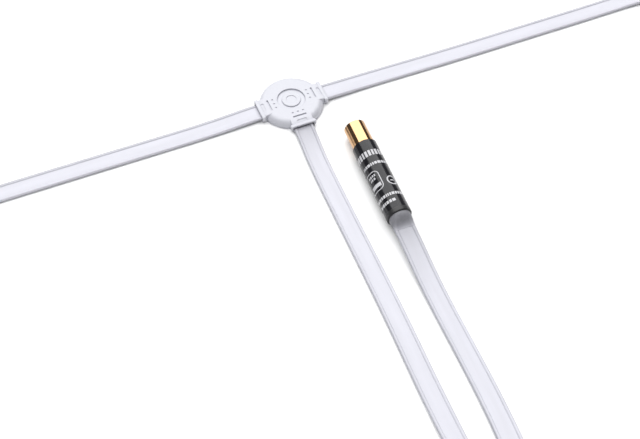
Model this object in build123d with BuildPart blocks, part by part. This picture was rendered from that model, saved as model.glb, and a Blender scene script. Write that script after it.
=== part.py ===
from build123d import *
import os
from math import asin, cos, degrees, pi, radians, sin, sqrt, tan

# Indoor FM antenna, a folded dipole of flat 300 ohm ribbon: two arms and a feeder meet in a
# round junction housing, and the feeder ends in a coaxial coupling with its balun inside.
# Millimetres. The origin is at the centre of the housing's underside, +Z is up, the arms
# lie along X and the feeder leaves along -Y.

# Flat ribbon: two stranded conductors in round beads, with a thin web between them
ribbon_width = 10.0
bead_dia = 1.8
web_thickness = 0.8
conductor_dia = 0.8
arm_length = 750.0  # from the junction's centre to the arm's end, a quarter wave
feeder_length = 1500.0  # from the junction's centre to the ribbon's end in the plug

# Junction housing
disc_radius = 16.1
cover_height = 4.5
shoulder_radius = 3.2
housing_wall = 1.3
base_thickness = 0.9
base_margin = 0.1  # how far the base stands out beyond the cover
base_chamfer = 0.25
cavity_top = 3.0
exit_angles = [180.0, 0.0, -90.0]
ribbon_lift = 0.05  # clearance between the ribbon's beads and the base
strip_radius = 8.0  # where the ribbons are cut square and their conductors go on bare

# Collars that the ribbons leave through
collar_width = 11.4
collar_reach = 17.4
collar_start = 12.7
collar_front_height = 3.2
collar_edge_radius = 0.5
channel_clearance = 0.3
channel_headroom = 0.1
slot_radius = 11.7
slot_width = 0.9
slot_length = 7.0
slot_depth = 0.6
dish_radius = 14.9
dish_length = 5.0
dish_width = 1.7
dish_depth = 0.3

# Marks on top of the cover
recess_radius = 7.05
recess_depth = 0.8
button_radius = 4.7
button_rise = 0.6
button_round = 0.25
button_dimple_radius = 2.65
button_dimple_depth = 0.25
mark_radius = 9.1
mark_pitch = 2.75
mark_dia = 1.05
mark_depth = 0.3

# Inside the housing
tooth_dia = 0.8
rib_thickness = 0.6
rib_height = 1.5
rib_length = 4.8
rib_radius = 10.7
post_circle = 11.8
post_radius = 1.0
post_height = 1.8
post_clearance = 0.05
boss_wall = 0.65
splice_length = 9.0
splice_wall = 0.45
splice_half_gap = 0.3  # half of what is left between the two wires in the crimp sleeve
solder_radius = 0.85
solder_round = 0.3
solder_bite = 0.3  # how far a wire goes into its solder joint

# Coaxial coupling: its mouth, and the way that its axis points
mouth_at = (21.24, -30.52)
plug_yaw = 2.58  # degrees from +Y towards +X
socket_bore = 9.6
socket_wall = 0.65
socket_show = 13.3
socket_hidden = 9.0
mouth_chamfer = 0.25
insulator_depth = 9.5
insulator_thickness = 3.0
shoulder_step = 0.6
contact_recess = 1.0
contact_bore_radius = 1.2
contact_wall = 0.5
contact_bore_length = 8.0
contact_slit = 0.4
contact_slit_length = 5.0
stem_radius = 1.0
stem_behind = 2.0
tail_length = 9.5

# Sleeve, end ring and grommet
sleeve_dia = 12.2
sleeve_wall = 0.6
sleeve_length = 42.0
sleeve_chamfer = 0.5
end_ring_length = 2.5
end_ring_round = 0.6
end_ring_spigot = 2.0
end_ring_lap = 0.3  # the sleeve's wall where the ring's spigot goes into it
end_ring_bore = 5.4
grommet_clearance = 0.05
grommet_inside = 8.5
grommet_taper = 6.5
grommet_tip_margin = 0.35

# Balun on its board
board_length = 27.5
board_width = 10.2
board_thickness = 1.0
board_overlap = 2.8  # how far the board goes into the slots of the outer contact
board_slot_clearance = 0.02
board_ribbon_gap = 0.3
core_at = 13.5  # from the board's front edge
core_width = 7.0
core_height = 4.2
core_length = 6.5
core_hole_radius = 1.0
core_hole_pitch = 3.4
wire_dia = 0.26
winding_pitch = 0.3
winding_stand_off = 0.38
winding_corner = 0.6
primary_turns = 2
secondary_turns = 4
lead_reach = 0.8
lead_corner = 0.35
lead_across = 1.2
capacitor_at = 9.0  # from the board's front edge
capacitor_across = 3.0
capacitor_length = 3.2
capacitor_width = 1.6
capacitor_height = 1.2
lead_wire_length = 4.0
plug_lead_straight = 19.75  # how far the plug's ribbon stays in line with the plug

# Put-away coils: the ribbon stands on its edge in them, and a tie holds each
left_coil_centre = (-215.3, -55.6)
right_coil_centre = (207.4, -108.4)
feeder_coil_centre = (-107.7, -218.4)
arm_coil_start = 53.6
arm_coil_pitch = 3.8
feeder_coil_inner = 42.5
feeder_coil_pitch = 3.8
coil_lead_in = 14.5  # from an arm's end to where its coil's outermost turn begins
feeder_lead_in = 7.0
feeder_entry_out = 1.1  # how far outside the coil's inner turn the feeder comes in
entry_pitch = 11.8  # between the two ribbons that come in side by side
entry_lean = 0.6  # how far below the coil's middle a ribbon comes in
corridor_clearance = 0.3
feeder_corridor = 2.5
coil_bite = 1.0  # how far a ribbon's end goes into the side of its coil
table_clearance = 0.03
tie_thickness = 0.6
tie_width = 5.0
tie_clearance = 0.15
tie_head_length = 6.0
tie_head_width = 5.0
tie_head_height = 2.0
cap_wall = 0.5
cap_clearance = 0.05
cap_length = 9.0
link_reach = 3.0
link_corner = 1.2

# Worked out from the sizes above
lying = bead_dia / 2 + table_clearance
exit_height = base_thickness + ribbon_lift + bead_dia / 2
coil_floor = tie_thickness + tie_clearance
coil_height = coil_floor + ribbon_width / 2
coil_entry = coil_height - entry_lean
plug_height = sleeve_dia / 2
bead_offset = (ribbon_width - bead_dia) / 2
web_under = exit_height - web_thickness / 2
web_over = exit_height + web_thickness / 2
channel_width = ribbon_width + 2 * channel_clearance
channel_top = exit_height + bead_dia / 2 + channel_headroom
collar_drop = cover_height - collar_front_height
collar_run = collar_reach - collar_start
collar_arc = (collar_run**2 + collar_drop**2) / (2 * collar_drop)
socket_outer = socket_bore / 2 + socket_wall
socket_length = socket_show + socket_hidden
contact_outer = contact_bore_radius + contact_wall
contact_back = contact_recess + contact_bore_length
sleeve_outer = sleeve_dia / 2
sleeve_inner = sleeve_outer - sleeve_wall
sleeve_back = socket_show + sleeve_length
ring_back = sleeve_back + end_ring_length
lap_radius = sleeve_outer - end_ring_lap
board_front = socket_length - board_overlap
board_back = board_front + board_length
board_top = -conductor_dia / 2
plug_dir = Vector(sin(radians(plug_yaw)), cos(radians(plug_yaw)), 0)
plug_right = Vector(cos(radians(plug_yaw)), -sin(radians(plug_yaw)), 0)
plug_mouth = Vector(*mouth_at, plug_height)
plug_axis = Axis(plug_mouth, plug_dir)

# Routes of the ribbons, each from its cut end in the housing or the plug to its coil
left_route = [
    (-strip_radius, 0, exit_height),
    (-20, 0, exit_height),
    (-43, -0.85, lying),
    (-84, -0.9, lying),
    (-126, -1.0, lying),
    (-168, -1.2, lying),
    (left_coil_centre[0] + coil_lead_in, left_coil_centre[1] + arm_coil_start, coil_entry),
]
right_route = [
    (strip_radius, 0, exit_height),
    (20, 0, exit_height),
    (43, 0.75, lying),
    (86, 0.2, lying),
    (130, 0.6, lying),
    (174, 0.9, lying),
    (212, 1.6, lying + 0.3),
    (238.7, -12, coil_entry),
    (256.3, -36.3, coil_entry),
    (261, -65.9, coil_entry),
    (right_coil_centre[0] + arm_coil_start, right_coil_centre[1] + coil_lead_in, coil_entry),
]
feeder_entry_x = feeder_coil_centre[0] + feeder_lead_in
feeder_entry_y = feeder_coil_centre[1] - feeder_coil_inner - feeder_entry_out
feeder_route = [
    (0, -strip_radius, exit_height),
    (-0.2, -19, exit_height),
    (-2.0, -41, lying),
    (-2.6, -80, lying),
    (-3.2, -128, lying),
    (-5.3, -178, lying),
    (-5.2, -213, lying + 1.0),
    (-18.8, -239.7, coil_entry),
    (-43.1, -257.3, coil_entry),
    (-72.7, -262, coil_entry),
    (feeder_entry_x, feeder_entry_y, coil_entry),
]
plug_lead_start = plug_mouth - plug_dir * (board_back + board_ribbon_gap)
plug_lead_bend = plug_lead_start - plug_dir * plug_lead_straight
plug_route = [
    (plug_lead_start.X, plug_lead_start.Y, plug_height),
    (plug_lead_bend.X, plug_lead_bend.Y, plug_height),
    (17.5, -127, lying),
    (17.05, -161, lying),
    (16.2, -190, lying),
    (13.2, -218, lying + 1.0),
    (-2.7, -249.2, coil_entry),
    (-31, -268.2, coil_entry),
    (-66, -273.6, coil_entry),
    (feeder_entry_x, feeder_entry_y - entry_pitch, coil_entry),
]

os.makedirs("parts", exist_ok=True)


def save(part, label):
    """Label a finished piece and write it under that name."""
    part.label = label
    export_step(part, f"parts/{label}.step")


def plug_side(aside=0.0):
    """A plane along the plug: x is the depth behind the mouth, y is up."""
    return Plane(origin=plug_mouth - plug_right * aside, x_dir=-plug_dir, z_dir=-plug_right)


def plug_across(depth):
    """A plane across the plug at a depth behind the mouth: y is up, z points to the cord."""
    return Plane(origin=plug_mouth - plug_dir * depth, x_dir=plug_right, z_dir=-plug_dir)


def plug_level(height, depth=0.0):
    """A level plane over the plug's axis: x is the depth behind the mouth."""
    origin = plug_mouth - plug_dir * depth + Vector(0, 0, height)
    return Plane(origin=origin, x_dir=-plug_dir, z_dir=(0, 0, 1))


# Ribbons


def corner_radii(points):
    """The largest arc that each corner's two runs allow."""
    radii = []
    for before, here, after in zip(points, points[1:], points[2:]):
        run_in = Vector(*here) - Vector(*before)
        run_out = Vector(*after) - Vector(*here)
        half_turn = radians(run_in.get_angle(run_out)) / 2
        radii.append(0.45 * min(run_in.length, run_out.length) / tan(half_turn))
    return radii


def lay_ribbon(route, label):
    """A flat ribbon swept along straight runs and the arcs between them."""
    radii = corner_radii(route)
    with BuildLine() as run:
        FilletPolyline(*route, radius=radii)
    path = run.wire()
    heading = path % 0
    start = Plane(origin=route[0], x_dir=heading.cross(Vector(0, 0, 1)), z_dir=heading)
    with BuildPart() as ribbon:
        with BuildSketch(start) as section:
            Rectangle(2 * bead_offset, web_thickness)
            with Locations((-bead_offset, 0), (bead_offset, 0)):
                Circle(bead_dia / 2)
        sweep(path=path)
    ratio = ribbon.part.volume / section.sketch.area / path.length
    print(f"{label}: {path.length:.1f} mm long, volume over section times length {ratio:.4f}")
    print("   radii", [round(radius) for radius in radii])
    save(ribbon.part, label)
    return ribbon.part, path, start


left_ribbon, left_run, left_start = lay_ribbon(left_route, "left_arm_ribbon")
right_ribbon, right_run, right_start = lay_ribbon(right_route, "right_arm_ribbon")
feeder_ribbon, feeder_run, feeder_start = lay_ribbon(feeder_route, "feeder_ribbon")
plug_ribbon, plug_run, plug_start = lay_ribbon(plug_route, "plug_lead_ribbon")

# Junction base: a disc with three tongues, guide ribs, grip teeth and locating posts
with BuildPart() as junction_base:
    with BuildSketch():
        Circle(disc_radius + base_margin)
        for angle in exit_angles:
            with Locations(Rotation(0, 0, angle)):
                Rectangle(collar_reach, collar_width, align=(Align.MIN, Align.CENTER))
    extrude(amount=base_thickness)
    chamfer(junction_base.faces().sort_by(Axis.Z)[0].outer_wire().edges(), base_chamfer)
    for angle in exit_angles:
        with BuildSketch(Plane.XY.offset(base_thickness).rotated((0, 0, angle))):
            rib_across = (channel_width + rib_thickness) / 2
            with Locations((rib_radius, rib_across), (rib_radius, -rib_across)):
                Rectangle(rib_length, rib_thickness)
        extrude(amount=rib_height)
        with BuildSketch(Plane.XY.offset(base_thickness).rotated((0, 0, angle))):
            with Locations((mark_radius, -mark_pitch), (mark_radius, 0), (mark_radius, mark_pitch)):
                Circle(tooth_dia / 2)
        extrude(amount=web_under - base_thickness)
    with BuildSketch(Plane.XY.offset(base_thickness)):
        with PolarLocations(post_circle, 4, start_angle=45):
            Circle(post_radius)
    extrude(amount=post_height)
save(junction_base.part, "junction_base")

# One collar of the cover: a tongue with a rounded top that slopes down to its mouth
with BuildPart() as collar:
    with BuildSketch(Plane.XZ):
        with BuildLine():
            crest = (collar_start, cover_height)
            lip = (collar_reach, collar_front_height)
            Polyline(crest, (recess_radius + 1, cover_height), (recess_radius + 1, base_thickness))
            Polyline((recess_radius + 1, base_thickness), (collar_reach, base_thickness), lip)
            RadiusArc(crest, lip, collar_arc)
        make_face()
    extrude(amount=collar_width / 2, both=True)
    outer_edges = collar.edges().filter_by(
        lambda edge: edge.center().Z > base_thickness + 0.1
        and edge.center().X > recess_radius + 1.1
        and (abs(edge.center().Y) > collar_width / 2 - 0.1 or edge.center().X > collar_reach - 0.1)
    )
    fillet(outer_edges, collar_edge_radius)

# What is taken out of the cover at each exit: the ribbon's channel, a slot, marks and a dish
dish_lean = asin((dish_radius - collar_start) / collar_arc)
dish_normal = Vector(sin(dish_lean), 0, cos(dish_lean))
dish_height = cover_height - collar_arc * (1 - cos(dish_lean))
with BuildPart() as exit_cuts:
    with BuildSketch(Plane.XY.offset(base_thickness)):
        with Locations((strip_radius, 0)):
            Rectangle(collar_reach, channel_width, align=(Align.MIN, Align.CENTER))
    extrude(amount=channel_top - base_thickness)
    with BuildSketch(Plane.XY.offset(cover_height - slot_depth)):
        with Locations((slot_radius, 0)):
            Rectangle(slot_width, slot_length)
    extrude(amount=slot_depth)
    with BuildSketch(Plane.XY.offset(cover_height - mark_depth)):
        with Locations((mark_radius, -mark_pitch), (mark_radius, 0), (mark_radius, mark_pitch)):
            Circle(mark_dia / 2)
    extrude(amount=mark_depth)
    dish_floor = Vector(dish_radius, 0, dish_height) - dish_normal * dish_depth
    with BuildSketch(Plane(origin=dish_floor, x_dir=(0, 1, 0), z_dir=dish_normal)):
        RectangleRounded(dish_length, dish_width, dish_width / 3)
    extrude(amount=dish_depth + 1)

# Junction cover: a low round shell with a rounded shoulder, three collars and a recessed button
with BuildPart() as junction_cover:
    with BuildSketch(Plane.XZ):
        with BuildLine():
            side_top = (disc_radius, cover_height - shoulder_radius)
            top_edge = (disc_radius - shoulder_radius, cover_height)
            Polyline(top_edge, (0, cover_height), (0, base_thickness), (disc_radius, base_thickness), side_top)
            RadiusArc(top_edge, side_top, shoulder_radius)
        make_face()
    revolve(axis=Axis.Z)
    for angle in exit_angles:
        add(collar.part, rotation=(0, 0, angle))
    with BuildSketch(Plane.XY.offset(base_thickness)):
        Circle(disc_radius - housing_wall)
    extrude(amount=cavity_top - base_thickness, mode=Mode.SUBTRACT)
    with BuildSketch(Plane.XY.offset(base_thickness)):
        with PolarLocations(post_circle, 4, start_angle=45):
            Circle(post_radius + post_clearance + boss_wall)
            Circle(post_radius + post_clearance, mode=Mode.SUBTRACT)
    extrude(amount=cavity_top - base_thickness)
    for angle in exit_angles:
        add(exit_cuts.part, rotation=(0, 0, angle), mode=Mode.SUBTRACT)
        with BuildSketch(Plane.XY.offset(web_over).rotated((0, 0, angle))):
            with Locations((mark_radius, -mark_pitch), (mark_radius, 0), (mark_radius, mark_pitch)):
                Circle(tooth_dia / 2)
        extrude(amount=cavity_top - web_over)
    with BuildSketch(Plane.XY.offset(cover_height)):
        Circle(recess_radius)
        Circle(button_radius, mode=Mode.SUBTRACT)
    extrude(amount=-recess_depth, mode=Mode.SUBTRACT)
    with BuildSketch(Plane.XY.offset(cover_height)):
        Circle(button_radius)
    extrude(amount=button_rise - recess_depth, mode=Mode.SUBTRACT)
    with BuildSketch(Plane.XY.offset(cover_height - recess_depth + button_rise)):
        Circle(button_dimple_radius)
    extrude(amount=-button_dimple_depth, mode=Mode.SUBTRACT)
    round_edges = junction_cover.edges().filter_by(GeomType.CIRCLE).filter_by(
        lambda edge: edge.center().Z > cover_height - 0.5 * recess_depth
        and edge.radius in (button_radius, recess_radius)
    )
    fillet(round_edges, button_round)
save(junction_cover.part, "junction_cover")

# Bare conductors of the ribbons, and what joins them


def bare_wires(start, lengths, label):
    """A ribbon's two conductors, going on from its cut end towards the centre."""
    with BuildPart() as wires:
        for side, length in zip((-1, 1), lengths):
            with BuildSketch(start):
                with Locations((side * bead_offset, 0)):
                    Circle(conductor_dia / 2)
            extrude(amount=-length)
    save(wires.part, label)
    return wires.part


through_length = strip_radius - splice_half_gap
joint_length = strip_radius - bead_offset - solder_radius + solder_bite
left_arm_wires = bare_wires(left_start, (joint_length, through_length), "left_arm_wires")
right_arm_wires = bare_wires(right_start, (through_length, joint_length), "right_arm_wires")
feeder_wires = bare_wires(feeder_start, (joint_length, joint_length), "feeder_wires")

with BuildPart() as through_splice:
    with BuildSketch(Plane.YZ):
        with Locations((bead_offset, exit_height)):
            Circle(conductor_dia / 2 + splice_wall)
            Circle(conductor_dia / 2, mode=Mode.SUBTRACT)
    extrude(amount=splice_length / 2, both=True)
save(through_splice.part, "through_splice")


def solder(x, wires, label):
    """A blob of solder round the ends of an arm's wire and a feeder's wire."""
    with BuildPart() as joint:
        with Locations((x, -bead_offset, exit_height)):
            Cylinder(solder_radius, 2 * solder_radius)
        fillet(joint.edges().filter_by(GeomType.CIRCLE), solder_round)
        add([wires, feeder_wires], mode=Mode.SUBTRACT)
    save(joint.part, label)


solder(-bead_offset, left_arm_wires, "left_solder_joint")
solder(bead_offset, right_arm_wires, "right_solder_joint")

# Coaxial coupling: outer contact, insulator and centre contact
with BuildPart() as plug_outer_contact:
    with BuildSketch(plug_side()):
        with BuildLine():
            shoulder_at = insulator_depth + insulator_thickness
            Polyline(
                (0, socket_bore / 2 + mouth_chamfer),
                (mouth_chamfer, socket_bore / 2),
                (shoulder_at, socket_bore / 2),
                (shoulder_at, socket_bore / 2 - shoulder_step),
                (socket_length, socket_bore / 2 - shoulder_step),
                (socket_length, socket_outer),
                (mouth_chamfer, socket_outer),
                (0, socket_outer - mouth_chamfer),
                close=True,
            )
        make_face()
    revolve(axis=plug_axis)
    with BuildSketch(plug_across(board_front - board_slot_clearance)):
        with Locations((0, board_top - board_thickness / 2)):
            Rectangle(3 * socket_outer, board_thickness + 2 * board_slot_clearance)
    extrude(amount=socket_hidden, mode=Mode.SUBTRACT)
save(plug_outer_contact.part, "plug_outer_contact")

with BuildPart() as plug_insulator:
    with BuildSketch(plug_across(insulator_depth)):
        Circle(socket_bore / 2)
        Circle(stem_radius, mode=Mode.SUBTRACT)
    extrude(amount=insulator_thickness)
save(plug_insulator.part, "plug_insulator")

with BuildPart() as plug_centre_contact:
    with BuildSketch(plug_side()):
        with BuildLine():
            stem_end = insulator_depth + insulator_thickness + stem_behind
            tail_end = stem_end + tail_length
            Polyline(
                (contact_recess, contact_bore_radius + contact_wall / 2),
                (contact_recess + contact_wall / 2, contact_bore_radius),
                (contact_back, contact_bore_radius),
                (contact_back, 0),
                (tail_end, 0),
                (tail_end, conductor_dia / 2),
                (stem_end, conductor_dia / 2),
                (stem_end, stem_radius),
                (insulator_depth, stem_radius),
                (insulator_depth, contact_outer),
                (contact_recess, contact_outer),
                close=True,
            )
        make_face()
    revolve(axis=plug_axis)
    with BuildSketch(plug_across(contact_recess)):
        Rectangle(3 * contact_outer, contact_slit)
    extrude(amount=contact_slit_length, mode=Mode.SUBTRACT)
save(plug_centre_contact.part, "plug_centre_contact")

# Sleeve over the coupling's back, and the rounded ring let into its end
with BuildPart() as plug_sleeve:
    with BuildSketch(plug_side()):
        with BuildLine():
            Polyline(
                (socket_show, sleeve_outer - sleeve_chamfer),
                (socket_show + sleeve_chamfer, sleeve_outer),
                (sleeve_back, sleeve_outer),
                (sleeve_back, lap_radius),
                (sleeve_back - end_ring_spigot, lap_radius),
                (sleeve_back - end_ring_spigot, sleeve_inner),
                (socket_show, sleeve_inner),
                close=True,
            )
        make_face()
    revolve(axis=plug_axis)
save(plug_sleeve.part, "plug_sleeve")

with BuildPart() as sleeve_end_ring:
    with BuildSketch(plug_side()):
        with BuildLine():
            Polyline(
                (ring_back - end_ring_round, sleeve_outer),
                (sleeve_back, sleeve_outer),
                (sleeve_back, lap_radius),
                (sleeve_back - end_ring_spigot, lap_radius),
                (sleeve_back - end_ring_spigot, end_ring_bore),
                (ring_back, end_ring_bore),
                (ring_back, sleeve_outer - end_ring_round),
            )
            RadiusArc(
                (ring_back - end_ring_round, sleeve_outer),
                (ring_back, sleeve_outer - end_ring_round),
                end_ring_round,
            )
        make_face()
    revolve(axis=plug_axis)
save(sleeve_end_ring.part, "sleeve_end_ring")

# Grommet: a soft plug in the ring that tapers to a flat mouth round the ribbon
grommet_radius = end_ring_bore - grommet_clearance
tip_half_width = ribbon_width / 2 + grommet_tip_margin
tip_half_height = bead_dia / 2 + grommet_tip_margin
corner = radians(24)


def rounded_slot(half_width, half_height, side_x, side_y):
    """A closed outline of four arcs, or of straight lines where an arc would be flat."""
    top, bottom = (0, half_height), (0, -half_height)
    if side_y == half_height:
        Line((-side_x, side_y), (side_x, side_y))
        Line((side_x, -side_y), (-side_x, -side_y))
    else:
        ThreePointArc((-side_x, side_y), top, (side_x, side_y))
        ThreePointArc((side_x, -side_y), bottom, (-side_x, -side_y))
    ThreePointArc((side_x, side_y), (half_width, 0), (side_x, -side_y))
    ThreePointArc((-side_x, -side_y), (-half_width, 0), (-side_x, side_y))


with BuildPart() as cord_grommet:
    with BuildSketch(plug_across(sleeve_back - grommet_inside + end_ring_length)):
        Circle(grommet_radius)
    extrude(amount=grommet_inside)
    with BuildSketch(plug_across(ring_back)):
        with BuildLine():
            rounded_slot(
                grommet_radius, grommet_radius, grommet_radius * cos(corner), grommet_radius * sin(corner)
            )
        make_face()
    with BuildSketch(plug_across(ring_back + grommet_taper)):
        with BuildLine():
            rounded_slot(tip_half_width, tip_half_height, tip_half_width - tip_half_height, tip_half_height)
        make_face()
    loft()
    with BuildSketch(plug_start) as passage:
        Rectangle(2 * bead_offset, web_thickness + 2 * grommet_clearance)
        with Locations((-bead_offset, 0), (bead_offset, 0)):
            Circle(bead_dia / 2 + grommet_clearance)
    sweep(sections=passage.sketch, path=plug_run, mode=Mode.SUBTRACT)
save(cord_grommet.part, "cord_grommet")

# Balun: a board in the sleeve, a two-hole ferrite core on it, and its two windings
core_front = board_front + core_at
core_middle = board_top + core_height / 2

with BuildPart() as balun_board:
    with BuildSketch(plug_across(board_front)):
        with Locations((0, board_top - board_thickness / 2)):
            Rectangle(board_width, board_thickness)
    extrude(amount=board_length)
save(balun_board.part, "balun_board")

with BuildPart() as balun_core:
    with BuildSketch(plug_across(core_front)):
        with Locations((0, core_middle)):
            Rectangle(core_width, core_height)
        with Locations((-core_hole_pitch / 2, core_middle), (core_hole_pitch / 2, core_middle)):
            Circle(core_hole_radius, mode=Mode.SUBTRACT)
    extrude(amount=core_length)
save(balun_core.part, "balun_core")


def wind(first_turn, turns, back, label):
    """Turns of wire through both holes of the core, and two ends bent down to the board."""
    lowest = core_middle - (primary_turns + secondary_turns - 1) * winding_pitch / 2
    heights = [lowest + (first_turn + turn) * winding_pitch for turn in range(turns)]
    turn_length = core_length + 2 * winding_stand_off
    lead_from = core_front - winding_stand_off + (turn_length if back else 0)
    step = lead_reach if back else -lead_reach
    on_board = board_top + wire_dia / 2
    with BuildPart() as winding:
        for height in heights:
            with BuildSketch(plug_level(height - wire_dia / 2, core_front + core_length / 2)):
                outside = wire_dia / 2
                RectangleRounded(
                    turn_length + 2 * outside, core_hole_pitch + 2 * outside, winding_corner + outside
                )
                RectangleRounded(
                    turn_length - 2 * outside,
                    core_hole_pitch - 2 * outside,
                    winding_corner - outside,
                    mode=Mode.SUBTRACT,
                )
            extrude(amount=wire_dia)
        for side in (-lead_across, lead_across):
            with BuildLine(plug_side(side)) as lead:
                FilletPolyline(
                    (lead_from, heights[0]),
                    (lead_from + step, heights[0]),
                    (lead_from + step, on_board),
                    (lead_from + 2 * step, on_board),
                    radius=lead_corner,
                )
            start = Plane(origin=lead.line @ 0, z_dir=lead.line % 0)
            with BuildSketch(start):
                Circle(wire_dia / 2)
            sweep(path=lead.wire())
    save(winding.part, label)


wind(0, primary_turns, False, "primary_winding")
wind(primary_turns, secondary_turns, True, "secondary_winding")

with BuildPart() as blocking_capacitor:
    with BuildSketch(plug_level(board_top, board_front + capacitor_at)):
        with Locations((0, capacitor_across)):
            Rectangle(capacitor_length, capacitor_width)
    extrude(amount=capacitor_height)
save(blocking_capacitor.part, "blocking_capacitor")

with BuildPart() as plug_lead_wires:
    with BuildSketch(plug_start):
        with Locations((-bead_offset, 0), (bead_offset, 0)):
            Circle(conductor_dia / 2)
    extrude(amount=-lead_wire_length)
save(plug_lead_wires.part, "plug_lead_wires")

# Coils: each is one closed solid of the outer shape of its turns


def last_radius(length, start_radius, pitch):
    """The radius where a spiral of this length ends, and the angle that it turns through."""
    thinning = pitch / (4 * pi)
    turned = (start_radius - sqrt(start_radius**2 - 4 * thinning * length)) / (2 * thinning)
    return start_radius - 2 * thinning * turned, turned


def coil_arm(run, ribbon, centre, heading, clockwise, name):
    """An arm's coil with a corridor for its ribbon, and what is on the arm's end."""
    length = arm_length - strip_radius - run.length - coil_lead_in
    end_radius, turned = last_radius(length, arm_coil_start, arm_coil_pitch)
    print(f"{name}_arm_coil: {length:.1f} mm, {turned / (2 * pi):.3f} turns, ends at r {end_radius:.2f}")
    way = -1 if clockwise else 1
    entry = Plane(origin=(*centre, coil_height), x_dir=-heading, z_dir=(0, 0, way))
    end_out = entry.y_dir.rotate(Axis.Z, way * degrees(turned))
    end_along = Vector(0, 0, way).cross(end_out)
    end_at = entry.origin + end_out * end_radius
    end_plane = Plane(origin=end_at, x_dir=end_out, z_dir=end_along)
    cap_inside_x = bead_dia / 2 + cap_clearance
    cap_inside_y = ribbon_width / 2 + cap_clearance
    with BuildPart() as coil:
        with BuildSketch(entry):
            Circle(arm_coil_start + bead_dia / 2)
            Circle(end_radius - bead_dia / 2, mode=Mode.SUBTRACT)
        extrude(amount=ribbon_width / 2, both=True)
        with BuildSketch(entry):
            corridor_side = arm_coil_start - ribbon_width / 2 - corridor_clearance
            with Locations((coil_lead_in - coil_bite, corridor_side)):
                Rectangle(2 * arm_coil_start, 2 * ribbon_width, align=(Align.MIN, Align.MIN))
        extrude(amount=ribbon_width / 2, both=True, mode=Mode.SUBTRACT)
        add(ribbon, mode=Mode.SUBTRACT)
        with BuildSketch(end_plane):
            with Locations((cap_inside_x + cap_wall + corridor_clearance, 0)):
                Rectangle(2 * ribbon_width, 2 * ribbon_width, align=(Align.MAX, Align.CENTER))
        extrude(amount=cap_length + corridor_clearance, mode=Mode.SUBTRACT)
    save(coil.part, f"{name}_arm_coil")
    with BuildPart() as cap:
        with BuildSketch(end_plane):
            Rectangle(2 * (cap_inside_x + cap_wall), 2 * (cap_inside_y + cap_wall))
        extrude(amount=cap_length)
        fillet(cap.faces().sort_by(Axis(end_at, end_along))[-1].edges(), cap_wall)
        with BuildSketch(end_plane):
            Rectangle(2 * cap_inside_x, 2 * cap_inside_y)
        extrude(amount=cap_length - cap_wall, mode=Mode.SUBTRACT)
    save(cap.part, f"{name}_end_cap")
    with BuildPart() as link:
        with BuildLine(Plane(origin=end_at, x_dir=end_along, z_dir=end_out)) as bend:
            FilletPolyline(
                (0, bead_offset),
                (link_reach, bead_offset),
                (link_reach, -bead_offset),
                (0, -bead_offset),
                radius=link_corner,
            )
        with BuildSketch(Plane(origin=bend.line @ 0, z_dir=bend.line % 0)):
            Circle(conductor_dia / 2)
        sweep(path=bend.wire())
    save(link.part, f"{name}_end_link")
    return end_radius


left_inner = coil_arm(left_run, left_ribbon, left_coil_centre, Vector(-1, 0, 0), False, "left")
right_inner = coil_arm(right_run, right_ribbon, right_coil_centre, Vector(0, -1, 0), True, "right")

# The feeder's coil is a double spiral, both strands side by side, round an S in its middle
coiled = feeder_length - strip_radius - feeder_run.length - plug_run.length - 2 * feeder_lead_in
widening = 2 * feeder_coil_pitch / (4 * pi)
linear = 2 * feeder_coil_inner + 2 * pi * widening
constant = 2 * pi * feeder_coil_inner + pi**2 * widening - coiled
turned_in = (sqrt(linear**2 - 8 * widening * constant) - linear) / (4 * widening)
feeder_coil_outer = feeder_coil_inner + 2 * widening * (turned_in + pi)
print(f"feeder_coil: {coiled:.1f} mm, {turned_in / (2 * pi):.3f} turns, outer r {feeder_coil_outer:.2f}")
feeder_entry = Plane(origin=(*feeder_coil_centre, coil_height), x_dir=(1, 0, 0), z_dir=(0, 0, -1))
s_towards = feeder_entry.y_dir.rotate(Axis.Z, -degrees(turned_in + pi))
s_plane = Plane(origin=feeder_entry.origin, x_dir=s_towards, z_dir=(0, 0, -1))
block_inside = feeder_coil_inner + feeder_entry_out - ribbon_width / 2
block_width = entry_pitch + ribbon_width + coil_bite
block_front = feeder_lead_in + coil_bite
corridor_height = entry_lean + bead_dia / 2 + corridor_clearance
s_radius = feeder_coil_inner / 2
half_bead = bead_dia / 2
with BuildPart() as feeder_coil:
    with BuildSketch(feeder_entry):
        Circle(feeder_coil_outer + half_bead)
        Circle(feeder_coil_inner - half_bead, mode=Mode.SUBTRACT)
    extrude(amount=ribbon_width / 2, both=True)
    with BuildSketch(feeder_entry):
        with Locations((block_front, block_inside - feeder_corridor)):
            Rectangle(feeder_coil_outer, feeder_coil_outer, align=(Align.MIN, Align.MIN))
    extrude(amount=corridor_height, both=True, mode=Mode.SUBTRACT)
    with BuildSketch(feeder_entry):
        with Locations((block_front, block_inside)):
            Rectangle(2 * feeder_lead_in, block_width, align=(Align.MAX, Align.MIN))
    extrude(amount=ribbon_width / 2, both=True)
    with BuildSketch(s_plane):
        with BuildLine():
            CenterArc((s_radius, 0), s_radius + half_bead, 0, 180)
            CenterArc((-s_radius, 0), s_radius - half_bead, 0, -180)
            Line((half_bead - 2 * s_radius, 0), (-half_bead - 2 * s_radius, 0))
            CenterArc((-s_radius, 0), s_radius + half_bead, 180, 180)
            CenterArc((s_radius, 0), s_radius - half_bead, 180, -180)
            Line((2 * s_radius - half_bead, 0), (2 * s_radius + half_bead, 0))
        make_face()
    extrude(amount=ribbon_width / 2, both=True)
    add([feeder_ribbon, plug_ribbon], mode=Mode.SUBTRACT)
save(feeder_coil.part, "feeder_coil")

# Ties: a flat strap round each coil's side, with its lock on top


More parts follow.
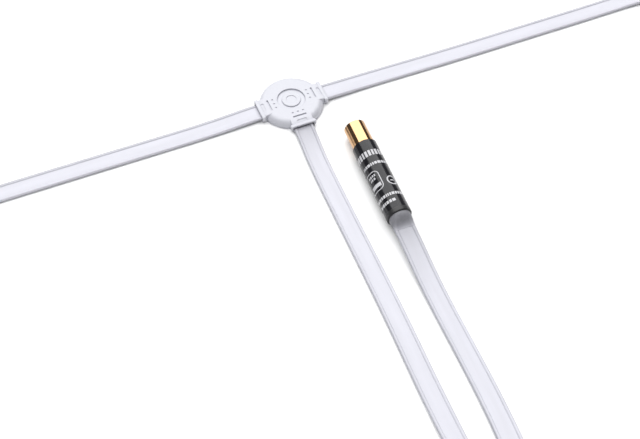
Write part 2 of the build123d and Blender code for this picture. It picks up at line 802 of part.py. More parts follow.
def tie_coil(centre, inner, outer, angle, label):
    """A tie that holds a coil at an angle round its centre."""
    direction = Vector(cos(radians(angle)), sin(radians(angle)), 0)
    at = Vector(*centre, coil_floor + ribbon_width / 2) + direction * (inner + outer) / 2
    along = direction.cross(Vector(0, 0, 1))
    width = outer - inner + bead_dia + 2 * tie_clearance
    height = ribbon_width + 2 * tie_clearance
    with BuildPart() as tie:
        with BuildSketch(Plane(origin=at, x_dir=direction, z_dir=along)):
            RectangleRounded(width + 2 * tie_thickness, height + 2 * tie_thickness, tie_thickness)
            Rectangle(width, height, mode=Mode.SUBTRACT)
        extrude(amount=tie_width / 2, both=True)
        top = Vector(0, 0, height / 2 + tie_thickness)
        with BuildSketch(Plane(origin=at + top, x_dir=direction, z_dir=(0, 0, 1))):
            Rectangle(tie_head_length, tie_head_width)
        extrude(amount=tie_head_height)
    save(tie.part, label)


tie_coil(left_coil_centre, left_inner, arm_coil_start, 225, "left_arm_tie")
tie_coil(right_coil_centre, right_inner, arm_coil_start, -45, "right_arm_tie")
tie_coil(feeder_coil_centre, feeder_coil_inner, feeder_coil_outer, 180, "feeder_tie")
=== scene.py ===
# %% [markdown]
# # An indoor aerial of flat ribbon
#
# The part is a folded dipole: two arms and a feeder of flat twin ribbon meet in a small round
# housing, and the feeder ends in a gold coaxial coupling with a black sleeve. The solids come
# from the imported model, and stay where they are. This script dresses them.

# %% Load the fixed frame
import math
import random

import bmesh
import bpy
from mathutils import Matrix, Vector


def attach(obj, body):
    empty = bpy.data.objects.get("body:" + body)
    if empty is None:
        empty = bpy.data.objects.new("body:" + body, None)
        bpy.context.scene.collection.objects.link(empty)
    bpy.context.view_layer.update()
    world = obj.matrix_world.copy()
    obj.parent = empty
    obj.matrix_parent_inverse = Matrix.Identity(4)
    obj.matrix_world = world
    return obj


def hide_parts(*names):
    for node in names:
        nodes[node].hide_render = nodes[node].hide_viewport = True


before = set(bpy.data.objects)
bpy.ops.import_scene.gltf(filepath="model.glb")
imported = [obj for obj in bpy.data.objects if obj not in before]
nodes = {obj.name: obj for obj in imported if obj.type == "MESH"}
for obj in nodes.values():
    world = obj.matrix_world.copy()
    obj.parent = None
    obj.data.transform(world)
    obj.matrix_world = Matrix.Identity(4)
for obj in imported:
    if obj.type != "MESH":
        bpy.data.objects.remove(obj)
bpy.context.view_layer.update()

MM = 0.001
UP = Vector((0, 0, 1))
print("the packed model has", len(nodes), "nodes")

# %% [markdown]
# ## The camera
#
# The photograph looks down on the table from a little to the left. A camera can be aimed with a
# constraint, but three axes written out are plainer: right, up, and back towards the lens.

# %% Camera
camera_height_angle = math.radians(54.2)
camera_round_angle = math.radians(-22.3)
focal_pixels = 998
picture_width = 640
sensor_width = 36
lens_place = (-0.11609, -0.32104, 0.37418)
level = math.cos(camera_height_angle)
back = Vector((math.sin(camera_round_angle) * level, -math.cos(camera_round_angle) * level,
               math.sin(camera_height_angle)))
right = Vector((math.cos(camera_round_angle), math.sin(camera_round_angle), 0))
camera_data = bpy.data.cameras.new("photo_camera")
camera_data.sensor_width = sensor_width
camera_data.lens = focal_pixels / picture_width * sensor_width
camera_data.clip_start = 0.01
camera = bpy.data.objects.new("photo_camera", camera_data)
axes = Matrix((right, back.cross(right), back)).transposed().to_4x4()
camera.matrix_world = Matrix.Translation(lens_place) @ axes
bpy.context.scene.collection.objects.link(camera)
bpy.context.scene.camera = camera
bpy.context.scene.view_settings.view_transform = "Standard"
print("lens", round(camera_data.lens, 2), "mm")

# %% [markdown]
# ## Where the ribbons lie
#
# Each ribbon follows one smooth line. The line is a NURBS spline with a few control points, set as a
# cord falls: straight out of its exit, down to the table, and along it. A line drawn through many
# points would look like bent wire. The length that the picture doesn't show is wound up beside it,
# so each coil's turns are further points of the same spline.

# %% Lines of the ribbons, in millimetres
lying = 0.93
exit_height = 1.85
coil_height = 5.75
coil_entry = 5.15
left_centre = (-215.3, -55.6)
right_centre = (207.4, -108.4)
feeder_centre = (-107.7, -218.4)
left_route = [(-8, 0, exit_height), (-20, 0, exit_height), (-43, -0.85, lying), (-84, -0.9, lying),
              (-126, -1.0, lying), (-168, -1.2, lying), (-200.8, -2.0, coil_entry)]
right_route = [(8, 0, exit_height), (20, 0, exit_height), (43, 0.75, lying), (86, 0.2, lying),
               (130, 0.6, lying), (174, 0.9, lying), (212, 1.6, 1.23), (238.7, -12, coil_entry),
               (256.3, -36.3, coil_entry), (261, -65.9, coil_entry), (261, -93.9, coil_entry)]
feeder_route = [(0, -8, exit_height), (-0.2, -19, exit_height), (-2.0, -41, lying),
                (-2.6, -80, lying), (-3.2, -128, lying), (-5.3, -178, lying), (-5.2, -213, 1.93),
                (-18.8, -239.7, coil_entry), (-43.1, -257.3, coil_entry),
                (-72.7, -264.5, coil_entry), (-100.7, -268.3, coil_entry)]
plug_route = [(19.11, -77.77, 6.1), (18.22, -97.5, 6.1), (17.5, -127, lying),
              (17.05, -161, lying), (16.2, -190, lying), (13.2, -218, 1.93),
              (-2.7, -249.2, coil_entry), (-31, -268.2, coil_entry), (-66, -273.6, coil_entry),
              (-100.7, -273.8, coil_entry)]
points_a_turn = 24


def round_points(centre, first, last, radius, pitch):
    """Control points of a coil from one angle to another; its radius falls by the pitch a turn."""
    steps = max(2, round(abs(last - first) / math.tau * points_a_turn))
    reach = 1 / math.cos(math.pi / points_a_turn)
    places = []
    for step in range(steps + 1):
        turned = (last - first) * step / steps
        now = (radius - pitch * abs(turned) / math.tau) * reach
        angle = first + turned
        places.append((centre[0] + now * math.cos(angle), centre[1] + now * math.sin(angle),
                       coil_height))
    return places


arm_radius = 53.6
arm_pitch = 3.8
quarter = math.pi / 2
left_turns = 1.688 * math.tau
right_turns = 1.265 * math.tau
left_line = left_route + round_points(left_centre, quarter, quarter + left_turns, arm_radius, arm_pitch)
right_line = right_route + round_points(right_centre, 0, -right_turns, arm_radius, arm_pitch)
print("control points:", len(left_line), "left,", len(right_line), "right")

# %% [markdown]
# The feeder's middle is wound double. Its two halves go round side by side and meet in the coil's
# middle in an S, as when a lead is folded in two and rolled up from the fold.

# %% The feeder's double coil
inner_radius = 42.5
strand_pitch = 3.8
feeder_turned = 6.273
double_pitch = 2 * strand_pitch
feeder_radius = inner_radius + double_pitch * feeder_turned / math.tau
plug_radius = feeder_radius + strand_pitch
plug_turned = feeder_turned + math.pi
feeder_joins = 0.17
plug_joins = 0.35


def strand(joins, turned, radius):
    """One half of the double coil, from where its ribbon joins it to the S in its middle."""
    start = radius - double_pitch * joins / math.tau
    return round_points(feeder_centre, -quarter - joins, -quarter - turned, start, double_pitch)


def half_circle(side, first, last):
    """Half of the S: side is -1 for the half next to the feeder's strand, 1 for the other."""
    heading = -quarter - plug_turned
    radius = inner_radius / 2
    centre = (feeder_centre[0] + side * radius * math.cos(heading),
              feeder_centre[1] + side * radius * math.sin(heading))
    return round_points(centre, heading + first, heading + last, radius, 0)


inward = strand(feeder_joins, feeder_turned, feeder_radius)
outward = strand(plug_joins, plug_turned, plug_radius)[::-1]
s_bend = half_circle(-1, math.pi, 0)[1:] + half_circle(1, math.pi, math.tau)[1:-1]
feeder_line = feeder_route + inward + s_bend + outward + plug_route[::-1]
print("control points:", len(feeder_line), "feeder")

# %% [markdown]
# A NURBS spline of order 3 is a smooth quadratic curve that stays inside its control points. Its
# order and its end points are set after the points are there, or it would stay at straight runs.
# Blender's own evaluation of that curve then gives the places that the ribbon follows.

# %% Read the smooth lines


def smooth_line(name, control_points, samples=6):
    """Places along the NURBS spline of these control points, in metres."""
    curve = bpy.data.curves.new(name, "CURVE")
    curve.dimensions = "3D"
    spline = curve.splines.new("NURBS")
    spline.points.add(len(control_points) - 1)
    for point, place in zip(spline.points, control_points):
        point.co = (place[0] * MM, place[1] * MM, place[2] * MM, 1)
    spline.order_u = 3
    spline.use_endpoint_u = True
    spline.resolution_u = samples
    holder = bpy.data.objects.new(name, curve)
    bpy.context.scene.collection.objects.link(holder)
    bpy.context.view_layer.update()
    read = bpy.data.meshes.new_from_object(holder)
    places = [vertex.co.copy() for vertex in read.vertices]
    bpy.data.objects.remove(holder)
    bpy.data.meshes.remove(read)
    return places


lines = {
    "left_arm": smooth_line("left_arm_line", left_line),
    "right_arm": smooth_line("right_arm_line", right_line),
    "feeder": smooth_line("feeder_line", feeder_line),
}
for name, places in lines.items():
    length = sum((b - a).length for a, b in zip(places, places[1:]))
    print(name, "is", round(length, 4), "m long, over", len(places), "places")

# %% [markdown]
# ## The ribbon's shape
#
# Twin ribbon is extruded in one go: two round beads, each with its stranded conductor, and a thin
# web that keeps them apart. Where it is wound up it stands on its edge, and just outside the
# picture it turns from lying flat to standing. The section is one flat face, extruded a step at a
# time along the line. Each corner keeps its number, so the ribbon knows later what is across it
# and what is along it.

# %% Section and turning of the ribbon
bead_radius = 0.9 * MM
bead_offset = 4.1 * MM
web_half = 0.4 * MM
ribbon_width = 10 * MM
bead_steps = 12


def ribbon_section(swell=0):
    """The outline of the ribbon's section: right bead, web's top, left bead, web's underside."""
    radius = bead_radius + swell
    half = web_half + swell
    meeting = math.pi - math.asin(half / radius)
    outline = []
    for side in (1, -1):
        for step in range(bead_steps + 1):
            angle = meeting * (2 * step / bead_steps - 1) + (0 if side == 1 else math.pi)
            outline.append((side * bead_offset + radius * math.cos(angle), radius * math.sin(angle)))
        outline.append((side * bead_offset * 0.4, side * half))
        outline.append((-side * bead_offset * 0.4, side * half))
    return outline


def on_edge(place):
    """How far the ribbon has turned onto its edge: by its height, and not at all by an exit."""
    by_an_exit = abs(place.x) < 45 * MM and place.y > -150 * MM
    rise = (place.z - lying * MM - 0.1 * MM) / bead_offset
    return 0 if by_an_exit else math.asin(min(1, max(0, rise)))


def stations(places):
    """The ribbon's frame at each place: its middle, the way across it, and the way out of it."""
    turned = [on_edge(place) for place in places]
    for _ in range(4):
        turned = [(turned[max(i - 1, 0)] + 2 * turned[i] + turned[min(i + 1, len(turned) - 1)]) / 4
                  for i in range(len(turned))]
    frames = []
    for i, place in enumerate(places):
        along = (places[min(i + 1, len(places) - 1)] - places[max(i - 1, 0)]).normalized()
        level_across = along.cross(UP).normalized()
        upright = level_across.cross(along)
        across = level_across * math.cos(turned[i]) + upright * math.sin(turned[i])
        frames.append((place, across, across.cross(along)))
    return frames


section = ribbon_section()
print("the section has", len(section), "corners")

# %% [markdown]
# The ribbon's edges get a painted shade, a grey line along the beads by the way each edge faces on
# the table: darkest at the edge that lies away from the camera, and hardly at all on its right. That
# painted shade is kept on the ribbon as an attribute of its own, from 0 on the web to 1 on the
# outermost side of a bead. The sweep grows one face a step at a time, which keeps the section true in
# every bend. An extrusion adds its faces in another order each run, so they are sorted at the end.

# %% Extrude the ribbons
# How far across the bead the painted edge shade reaches.
edge_shade_spread = 1.7
# Painted shadow on the feeder's ends, next to the housing's lip and the sleeve.
end_shadow_depth = 0.4
lip_hides = 12 * MM
sleeve_hides = 20 * MM
end_shadow_fades_in = 10 * MM


def edge_shade(outwards):
    """Painted shade on a ribbon's edge, by the way that it faces on the table."""
    return max(0, outwards.y) * 1.0 + max(0, -outwards.y) * 0.1 + max(0, -outwards.x) * 0.3


def swept(frames, outlines):
    """A closed shape whose outline is extruded from frame to frame."""
    shape = bmesh.new()
    corner = shape.verts.layers.int.new("corner")
    station = shape.verts.layers.int.new("station")

    def put(vertex, number):
        middle, across, out = frames[number]
        x, y = outlines[number][vertex[corner]]
        vertex.co = middle + across * x + out * y
        vertex[station] = number

    for number in range(len(outlines[0])):
        vertex = shape.verts.new()
        vertex[corner] = number
        put(vertex, 0)
    end = shape.faces.new(shape.verts)
    for number in range(1, len(frames)):
        grown = bmesh.ops.extrude_face_region(shape, geom=[end], use_keep_orig=number == 1)
        for part in grown["geom"]:
            if isinstance(part, bmesh.types.BMVert):
                put(part, number)
            elif isinstance(part, bmesh.types.BMFace):
                end = part
    bmesh.ops.recalc_face_normals(shape, faces=shape.faces)
    for face in shape.faces:
        face.smooth = True
    return shape, corner, station


def in_order(shape):
    """Sort the faces by their corners, so that every run gives the same mesh."""
    shape.verts.index_update()
    ranked = sorted(shape.faces, key=lambda face: [vertex.index for vertex in face.verts])
    for number, face in enumerate(ranked):
        face.index = number
    shape.faces.sort()


def finished(name, shape, sharpest=50):
    """An object from a finished shape, with creases where faces meet more sharply."""
    in_order(shape)
    mesh = bpy.data.meshes.new(name)
    shape.to_mesh(mesh)
    shape.free()
    mesh.set_sharp_from_angle(angle=math.radians(sharpest))
    piece = bpy.data.objects.new(name, mesh)
    bpy.context.scene.collection.objects.link(piece)
    print(name, "has", len(mesh.polygons), "faces")
    return piece


def end_shade(from_start, from_end):
    """Painted shadow on the ribbon where it comes out from under the lip and the sleeve."""
    nearest = max(lip_hides - from_start, sleeve_hides - from_end)
    return end_shadow_depth * min(1, math.exp(nearest / end_shadow_fades_in))


def extrude_ribbon(name, places, shaded_ends=False):
    """A closed ribbon along the places, with its lengthwise UV map and its shade attribute."""
    frames = stations(places)
    shape, corner, station = swept(frames, [section] * len(frames))
    distance = [0]
    for before, here in zip(places, places[1:]):
        distance.append(distance[-1] + (here - before).length)
    lay = shape.loops.layers.uv.new("lay")
    shade = shape.verts.layers.float.new("shade")
    for vertex in shape.verts:
        x, y = section[vertex[corner]]
        across = frames[vertex[station]][1]
        beyond = min(1, max(0, abs(x) - bead_offset) / bead_radius * edge_shade_spread)
        # Painted shade on the beads' outer sides, set by which way each edge faces.
        vertex[shade] = beyond * edge_shade(across if x > 0 else -across)
        # Painted shadow near the ends, where the lip and the sleeve shade the ribbon.
        if shaded_ends:
            along = distance[vertex[station]]
            vertex[shade] = max(vertex[shade], end_shade(along, distance[-1] - along))
    for face in shape.faces:
        for loop in face.loops:
            x = section[loop.vert[corner]][0]
            loop[lay].uv = (x / ribbon_width + 0.5, distance[loop.vert[station]] / ribbon_width)
    return finished(name, shape)


ribbons = {
    "left_arm": extrude_ribbon("left_arm", lines["left_arm"]),
    "right_arm": extrude_ribbon("right_arm", lines["right_arm"]),
    "feeder": extrude_ribbon("feeder", lines["feeder"], True),
}

# %% [markdown]
# Where the ribbon leaves the sleeve, a soft grommet goes over from the sleeve's round bore to the
# ribbon's own section, so its thin end lies flush on the beads and the web.

# %% The grommet
grommet_radius = 5.35 * MM
taper_from = -88.4 * MM
taper_to = -94.6 * MM
round_outline = [(grommet_radius * math.cos((number - bead_steps / 2) * math.tau / len(section)),
                  grommet_radius * math.sin((number - bead_steps / 2) * math.tau / len(section)))
                 for number in range(len(section))]
flush_outline = ribbon_section(swell=0.05 * MM)
grommet_places = [place for place in smooth_line("grommet_line", plug_route, samples=40)
                  if taper_to < place.y < -80 * MM]
grommet_frames = stations(grommet_places)
grommet_outlines = []
for place in grommet_places:
    along = min(1, max(0, (place.y - taper_from) / (taper_to - taper_from)))
    blend = along * along * (3 - 2 * along)
    lift = (plug_route[0][2] * MM - place.z) * (1 - blend)
    grommet_outlines.append([(x + (flat_x - x) * blend, y + (flat_y - y) * blend + lift)
                             for (x, y), (flat_x, flat_y) in zip(round_outline, flush_outline)])
grommet = finished("soft_grommet", swept(grommet_frames, grommet_outlines)[0])
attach(grommet, "root")
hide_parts("cord_grommet")

# %% [markdown]
# Each ribbon is attached to the root and stands for the plain solids of its run and its coil,
# which are hidden.

for name, ribbon in ribbons.items():
    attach(ribbon, "root")
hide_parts("left_arm_ribbon", "left_arm_coil")
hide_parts("right_arm_ribbon", "right_arm_coil")
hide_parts("feeder_ribbon", "feeder_coil", "plug_lead_ribbon")
print("declared", len(ribbons), "cords")

# %% [markdown]
# ## Finishes
#
# Each finish starts as one physically based shader. Two helpers add what no real surface lacks: a
# slight unevenness of colour, and a fine relief. Both read object coordinates, which stay put on
# the piece from every side.

# %% Helpers for finishes
crease_reach = 0.9 * MM


def new_finish(name, colour, roughness, metallic=0.0):
    """A material with one shader, its constant values set on the shader's own sockets."""
    finish = bpy.data.materials.new(name)
    finish.use_nodes = True
    shader = finish.node_tree.nodes["Principled BSDF"]
    shader.inputs["Base Color"].default_value = (*colour, 1)
    shader.inputs["Roughness"].default_value = roughness
    shader.inputs["Metallic"].default_value = metallic
    return finish, finish.node_tree, shader


def noise(tree, scale, detail=3.0, source="Object", stretch=(1, 1, 1)):
    """A noise over the piece, with its scale in features per metre."""
    place = tree.nodes.new("ShaderNodeTexCoord")
    mapping = tree.nodes.new("ShaderNodeMapping")
    mapping.inputs["Scale"].default_value = stretch
    texture = tree.nodes.new("ShaderNodeTexNoise")
    texture.inputs["Scale"].default_value = scale
    texture.inputs["Detail"].default_value = detail
    tree.links.new(place.outputs[source], mapping.inputs["Vector"])
    tree.links.new(mapping.outputs["Vector"], texture.inputs["Vector"])
    return texture.outputs["Fac"]


def between(tree, factor, low, high, start=0.3, stop=0.7):
    """A ramp of two colours over a factor."""
    ramp = tree.nodes.new("ShaderNodeValToRGB")
    ramp.color_ramp.elements[0].position = start
    ramp.color_ramp.elements[0].color = (*low, 1)
    ramp.color_ramp.elements[1].position = stop
    ramp.color_ramp.elements[1].color = (*high, 1)
    tree.links.new(factor, ramp.inputs["Fac"])
    return ramp.outputs["Color"]


def relief(tree, shader, height, depth, strength=1.0):
    """Fine relief on the surface, with its depth in metres."""
    bump = tree.nodes.new("ShaderNodeBump")
    bump.inputs["Strength"].default_value = strength
    bump.inputs["Distance"].default_value = depth
    tree.links.new(height, bump.inputs["Height"])
    tree.links.new(bump.outputs["Normal"], shader.inputs["Normal"])


def mixed(tree, factor, first, second):
    """Two colours, or a colour and a tuple, mixed by a factor."""
    mix = tree.nodes.new("ShaderNodeMix")
    mix.data_type = "RGBA"
    for socket, value in ((mix.inputs[0], factor), (mix.inputs[6], first), (mix.inputs[7], second)):
        if isinstance(value, bpy.types.NodeSocket):
            tree.links.new(value, socket)
        elif isinstance(value, tuple):
            socket.default_value = (*value, 1)
        else:
            socket.default_value = value
    return mix.outputs[2]


def darkened(tree, colour, deepest):
    """A colour that darkens in grooves and creases, where little light gets in."""
    hollow = tree.nodes.new("ShaderNodeAmbientOcclusion")
    hollow.samples = 12
    hollow.inputs["Distance"].default_value = crease_reach
    shaded = tree.nodes.new("ShaderNodeMix")
    shaded.data_type = "RGBA"
    shaded.blend_type = "MULTIPLY"
    shaded.inputs[0].default_value = 1.0
    tree.links.new(colour, shaded.inputs[6])
    depth = between(tree, hollow.outputs["AO"], deepest, (1, 1, 1), 0.25, 0.95)
    tree.links.new(depth, shaded.inputs[7])
    return shaded.outputs[2]


def plain_finish(name, colour, roughness, metallic=0.0, scale=600, spread=0.06, depth=0.00001):
    """A finish with slight unevenness, for a piece that is mostly out of sight."""
    finish, tree, shader = new_finish(name, colour, roughness, metallic)
    grain = noise(tree, scale)
    darker = tuple(value * (1 - spread) for value in colour)
    lighter = tuple(min(1, value * (1 + spread)) for value in colour)
    tree.links.new(between(tree, grain, darker, lighter), shader.inputs["Base Color"])
    relief(tree, shader, grain, depth)
    return finish


def dress(finish, *names):
    """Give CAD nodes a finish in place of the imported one."""
    for name in names:
        node = nodes[name]
        node.data.materials.clear()
        node.data.materials.append(finish)


print("helpers ready")

# %% [markdown]
# ### The ribbon's plastic
#
# Ribbon insulation is soft, milky and slightly blue. The extruder leaves faint lines along it, and
# handling leaves faint streaks across. The shade attribute mixes in painted shade at the beads'
# edges and the feeder's ends, and an occlusion node adds painted shade in the creases.

# %% Ribbon finish
web_colour = (0.545, 0.545, 0.60)
streak_colour = (0.515, 0.515, 0.565)
# Colour of the painted shade at the ribbon's edges and ends.
painted_shade_colour = (0.13, 0.13, 0.15)
ribbon_finish, tree, shader = new_finish("milky_ribbon", web_colour, 0.42)
streaks = noise(tree, 1.0, 4.0, "UV", (3.0, 0.25, 1))
lines_along = noise(tree, 1.0, 2.0, "UV", (24.0, 0.02, 1))
base = between(tree, streaks, streak_colour, web_colour, 0.35, 0.65)
# Painted shade from the ribbon's shade attribute.
shade = tree.nodes.new("ShaderNodeAttribute")
shade.attribute_name = "shade"
with_painted_shade = mixed(tree, shade.outputs["Fac"], base, painted_shade_colour)
tree.links.new(darkened(tree, with_painted_shade, (0.45, 0.45, 0.50)), shader.inputs["Base Color"])
shader.inputs["Subsurface Weight"].default_value = 0.08
shader.inputs["Subsurface Radius"].default_value = (1, 1, 1)
shader.inputs["Subsurface Scale"].default_value = 0.0006
relief(tree, shader, lines_along, 0.00002, 0.6)
for ribbon in ribbons.values():
    ribbon.data.materials.append(ribbon_finish)
print("ribbon finish on", len(ribbons), "pieces")

# %% [markdown]
# ### The housing
#
# The housing is moulded in a hard white plastic with a satin skin. Grooves look darker than the
# skin round them, because little light gets in, and an occlusion node adds to that.

# %% Housing finish
housing_colour = (0.51, 0.515, 0.56)
housing_finish, tree, shader = new_finish("satin_white_moulding", housing_colour, 0.36)
skin = noise(tree, 900)
base = between(tree, skin, (0.50, 0.505, 0.55), (0.52, 0.525, 0.57))
tree.links.new(darkened(tree, base, (0.75, 0.75, 0.78)), shader.inputs["Base Color"])
relief(tree, shader, skin, 0.000004, 0.5)
dress(housing_finish, "junction_cover", "junction_base")
print("housing finish ready")

# %% [markdown]
# ### Lips of the exits
#
# Each exit of the housing ends in a slightly raised lip with an ear on either side of the ribbon.
# It could be cut from a block, but an arch drawn across the exit and extruded along it gives the
# bar and its ears in one piece. A bevel of all its edges then makes it soft, as moulded.

# %% Lips of the exits
lip_outline = [(-6.5, 1.1), (-5.4, 1.1), (-5.4, 3.0), (5.4, 3.0), (5.4, 1.1), (6.5, 1.1),
               (6.5, 4.05), (-6.5, 4.05)]
lip_start = 15.7
lip_depth = 1.9
lip_rounding = 0.42


def exit_lip(name, turn):
    """The lip of one exit, turned to its arm or to the feeder."""
    shape = bmesh.new()
    corners = [shape.verts.new((lip_start * MM, y * MM, z * MM)) for y, z in lip_outline]
    arch = shape.faces.new(corners)
    grown = bmesh.ops.extrude_face_region(shape, geom=[arch], use_keep_orig=True)
    front = [part for part in grown["geom"] if isinstance(part, bmesh.types.BMVert)]
    bmesh.ops.translate(shape, verts=front, vec=(lip_depth * MM, 0, 0))
    bmesh.ops.recalc_face_normals(shape, faces=shape.faces)
    bmesh.ops.bevel(shape, geom=shape.edges[:], offset=lip_rounding * MM, segments=3, profile=0.5,
                    affect="EDGES", material=-1)
    bmesh.ops.rotate(shape, verts=shape.verts, cent=(0, 0, 0), matrix=Matrix.Rotation(turn, 3, "Z"))
    for face in shape.faces:
        face.smooth = True
    lip = finished(name, shape)
    lip.data.materials.append(housing_finish)
    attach(lip, "root")


exit_lip("right_lip", 0)
exit_lip("left_lip", math.pi)
exit_lip("feeder_lip", -quarter)

# %% [markdown]
# ### Gold, black sleeve and grommet
#
# The coupling's tube is gold plated and polished. The sleeve is a glossy black moulding with a
# clear skin, and the grommet is a soft plastic whose grey is painted shadow of the sleeve, deepest
# by the sleeve and paling towards its tip.

# %% Coupling finishes
gold_finish, tree, shader = new_finish("gold_plate", (0.56, 0.34, 0.175), 0.1, 1.0)
wear = noise(tree, 350)
tree.links.new(between(tree, wear, (0.54, 0.325, 0.165), (0.58, 0.355, 0.185)),
               shader.inputs["Base Color"])
relief(tree, shader, wear, 0.000003, 0.4)
dress(gold_finish, "plug_outer_contact", "plug_centre_contact")

sleeve_finish, tree, shader = new_finish("glossy_black_sleeve", (0.0085, 0.0095, 0.0125), 0.17)
shader.inputs["Specular IOR Level"].default_value = 0.36
ripple = noise(tree, 260)
tree.links.new(between(tree, ripple, (0.007, 0.007, 0.009), (0.014, 0.014, 0.017)),
               shader.inputs["Base Color"])
relief(tree, shader, ripple, 0.000006, 0.4)
dress(sleeve_finish, "plug_sleeve")
dress(plain_finish("soft_black_ring", (0.008, 0.008, 0.009), 0.42), "sleeve_end_ring")

# Painted shadow of the sleeve on the grommet: grey by the sleeve, paler towards the tip.
shadow_fades_from = -91.5 * MM
shadow_fades_to = -94.2 * MM
grommet_finish, tree, shader = new_finish("grommet_painted_shadow", (0.20, 0.20, 0.22), 0.5)
place = tree.nodes.new("ShaderNodeTexCoord")
split = tree.nodes.new("ShaderNodeSeparateXYZ")
shadow_fading = tree.nodes.new("ShaderNodeMapRange")
shadow_fading.interpolation_type = "SMOOTHSTEP"
shadow_fading.inputs["From Min"].default_value = shadow_fades_from
shadow_fading.inputs["From Max"].default_value = shadow_fades_to
tree.links.new(place.outputs["Object"], split.inputs["Vector"])
tree.links.new(split.outputs["Y"], shadow_fading.inputs["Value"])
skin = noise(tree, 700)
sleeve_shadow_grey = between(tree, skin, (0.185, 0.185, 0.205), (0.215, 0.215, 0.235))
tree.links.new(mixed(tree, shadow_fading.outputs["Result"], sleeve_shadow_grey, (0.38, 0.38, 0.42)),
               shader.inputs["Base Color"])
relief(tree, shader, skin, 0.00001, 0.5)
grommet.data.materials.append(grommet_finish)
print("coupling finishes ready")

# %% [markdown]
# ### What is inside or out of sight
#
# The balun, the wires and the ties are seldom seen, and still get what they are made of: drawn
# copper, dull solder, a green board, a fired ferrite core, enamelled wire and milky nylon.

# %% Finishes of the small pieces
dress(plain_finish("drawn_copper", (0.85, 0.42, 0.26), 0.3, 1.0), "left_arm_wires",
      "right_arm_wires", "feeder_wires", "plug_lead_wires", "left_end_link", "right_end_link")
dress(plain_finish("tinned_splice", (0.66, 0.66, 0.64), 0.35, 1.0), "through_splice")
dress(plain_finish("dull_solder", (0.58, 0.59, 0.60), 0.4, 1.0, 1500), "left_solder_joint",
      "right_solder_joint")
dress(plain_finish("moulded_insulator", (0.78, 0.78, 0.72), 0.4), "plug_insulator")
dress(plain_finish("green_board", (0.02, 0.11, 0.04), 0.35, 0.0, 900, 0.2), "balun_board")
dress(plain_finish("fired_ferrite", (0.03, 0.03, 0.033), 0.7, 0.0, 2500, 0.3, 0.00003), "balun_core")
dress(plain_finish("enamelled_wire", (0.50, 0.15, 0.05), 0.25, 0.6), "primary_winding",
      "secondary_winding")
dress(plain_finish("chip_ceramic", (0.45, 0.32, 0.18), 0.5), "blocking_capacitor")
dress(plain_finish("milky_nylon", (0.66, 0.66, 0.68), 0.38, 0.0, 500, 0.04), "left_arm_tie",
      "right_arm_tie", "feeder_tie")
dress(plain_finish("shrunk_cap", (0.68, 0.68, 0.71), 0.5, 0.0, 800, 0.04), "left_end_cap",
      "right_end_cap")
print("small finishes ready")

# %% [markdown]
# ## Print on the sleeve
#
# The sleeve carries a pale print of plain bars, an outlined panel and a ring. It is drawn flat
# first, in millimetres, with x round the sleeve and y behind its front edge. A drawing on a flat
# sheet is easy to change, and a random length for each bar keeps a row from looking like a ruler.

# %% Draw the print flat
sleeve_radius = 6.1
print_rise = 0.03
print_sink = 0.06
facing_angle = math.radians(-15.3)
random.seed(7)
flat = bmesh.new()


def bar(x, y, width, height):
    """A plain bar round the middle of x and y, in millimetres."""
    place = Matrix.Translation((x, y, 0)) @ Matrix.Diagonal((width / 2, height / 2, 1, 1))
    bmesh.ops.create_grid(flat, x_segments=1, y_segments=1, size=1, matrix=place)


def dashes(y, start, stop, height, shortest, longest, gap):
    """A row of bars of uneven lengths, as small print looks from afar."""
    x = start
    while x < stop:
        width = random.uniform(shortest, longest)
        bar(x + width / 2, y, width, height)
        x += width + gap


def ring(x, y, radius, stroke):
    """A flat ring, from a circle with its middle inset and taken out."""
    made = bmesh.ops.create_circle(flat, cap_ends=True, radius=radius, segments=40,
                                   matrix=Matrix.Translation((x, y, 0)))
    face = made["verts"][0].link_faces[0]
    bmesh.ops.inset_individual(flat, faces=[face], thickness=stroke)
    bmesh.ops.delete(flat, geom=[face], context="FACES")


def panel_outline(x, y, width, height, corner, stroke):
    """The outline of a panel with rounded corners."""
    place = Matrix.Translation((x, y, 0)) @ Matrix.Diagonal((width / 2, height / 2, 1, 1))
    made = bmesh.ops.create_grid(flat, x_segments=1, y_segments=1, size=1, matrix=place)
    rounded = bmesh.ops.bevel(flat, geom=made["verts"], offset=corner, offset_type="OFFSET",
                              segments=6, profile=0.5, affect="VERTICES", material=-1)
    face = rounded["verts"][0].link_faces[0]
    bmesh.ops.inset_individual(flat, faces=[face], thickness=stroke)
    bmesh.ops.delete(flat, geom=[face], context="FACES")


dashes(8.7, -8.6, 8.0, 3.3, 0.9, 1.5, 0.6)
dashes(15.1, -6.5, 7.5, 1.5, 0.5, 1.6, 0.35)
bar(-8.6, 16.5, 1.3, 1.4)
panel_outline(-4.5, 24.4, 9.2, 10.9, 2.4, 0.4)
dashes(21.2, -6.0, -2.4, 1.2, 0.6, 1.1, 0.4)
dashes(23.0, -5.6, -2.8, 1.1, 0.6, 1.1, 0.4)
bar(-3.9, 27.0, 6.0, 1.9)
ring(4.9, 26.7, 2.7, 0.6)
bar(4.8, 26.8, 1.8, 0.6)
dashes(34.4, -8.6, 8.6, 1.5, 0.5, 1.7, 0.35)
dashes(38.0, -7.4, 2.0, 1.5, 0.5, 1.7, 0.35)
print("the flat print has", len(flat.faces), "faces")

# %% [markdown]
# The flat print is cut into narrow strips, given its thickness, and wrapped round the sleeve: x
# becomes an angle, and y a depth behind the sleeve's front edge. The strips let the wide bars
# follow the curve, and the wrap puts every part of the print at the same height on the skin.

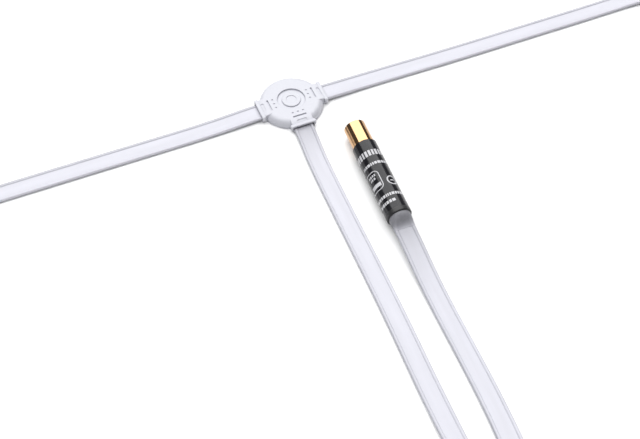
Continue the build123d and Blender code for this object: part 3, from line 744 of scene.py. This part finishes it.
# %% Wrap the print round the sleeve
strip = 0.6
for count in range(-16, 17):
    everything = flat.verts[:] + flat.edges[:] + flat.faces[:]
    bmesh.ops.bisect_plane(flat, geom=everything, plane_co=(count * strip, 0, 0), plane_no=(1, 0, 0))
bmesh.ops.translate(flat, verts=flat.verts, vec=(0, 0, -print_sink))
grown = bmesh.ops.extrude_face_region(flat, geom=flat.faces[:], use_keep_orig=True)
risen = [part for part in grown["geom"] if isinstance(part, bmesh.types.BMVert)]
bmesh.ops.translate(flat, verts=risen, vec=(0, 0, print_sink + print_rise))
plug_yaw = math.radians(2.58)
plug_dir = Vector((math.sin(plug_yaw), math.cos(plug_yaw), 0))
plug_right = Vector((math.cos(plug_yaw), -math.sin(plug_yaw), 0))
plug_mouth = Vector((21.24, -30.52, 6.1))
sleeve_front = 13.3
for vertex in flat.verts:
    angle = vertex.co.x / sleeve_radius + facing_angle
    depth = sleeve_front + vertex.co.y
    out = plug_right * math.sin(angle) + UP * math.cos(angle)
    vertex.co = (plug_mouth - plug_dir * depth + out * (sleeve_radius + vertex.co.z)) * MM
bmesh.ops.recalc_face_normals(flat, faces=flat.faces)
in_order(flat)
print_mesh = bpy.data.meshes.new("sleeve_print")
flat.to_mesh(print_mesh)
flat.free()
sleeve_print = bpy.data.objects.new("sleeve_print", print_mesh)
bpy.context.scene.collection.objects.link(sleeve_print)
ink_finish = plain_finish("pale_print", (0.50, 0.50, 0.52), 0.45, 0.0, 1800, 0.12)
print_mesh.materials.append(ink_finish)
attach(sleeve_print, "root")
print("the print has", len(print_mesh.polygons), "faces")

# %% [markdown]
# ## Floor and light
#
# The photograph has a white ground and soft light from above. A very large lamp overhead gives
# soft shadows and the broad pale band on the sleeve, and a dim surround keeps the sides in shade.

# %% Floor and light
floor_half = 3
floor_shape = bmesh.new()
bmesh.ops.create_grid(floor_shape, x_segments=1, y_segments=1, size=floor_half)
floor_mesh = bpy.data.meshes.new("floor")
floor_shape.to_mesh(floor_mesh)
floor_shape.free()
floor = bpy.data.objects.new("floor", floor_mesh)
bpy.context.scene.collection.objects.link(floor)
floor_mesh.materials.append(new_finish("pale_floor", (0.90, 0.90, 0.90), 0.9)[0])


def soft_lamp(name, place, aim, size, power):
    """A square lamp that points from its place to its aim."""
    lamp = bpy.data.lights.new(name, "AREA")
    lamp.shape = "SQUARE"
    lamp.size = size
    lamp.energy = power
    holder = bpy.data.objects.new(name, lamp)
    way = (Vector(aim) - Vector(place)).to_track_quat("-Z", "Y").to_matrix().to_4x4()
    holder.matrix_world = Matrix.Translation(place) @ way
    bpy.context.scene.collection.objects.link(holder)


soft_lamp("overhead", (0.14, 0.95, 2.15), (0, -0.05, 0), 3.9, 150)
soft_lamp("front_fill", (-0.5, -1.6, 0.9), (0, -0.05, 0), 1.4, 8)
world = bpy.data.worlds.new("surround")
world.use_nodes = True
world.node_tree.nodes["Background"].inputs["Color"].default_value = (0.95, 0.96, 1.0, 1)
world.node_tree.nodes["Background"].inputs["Strength"].default_value = 0.12
bpy.context.scene.world = world
print("floor and light ready")
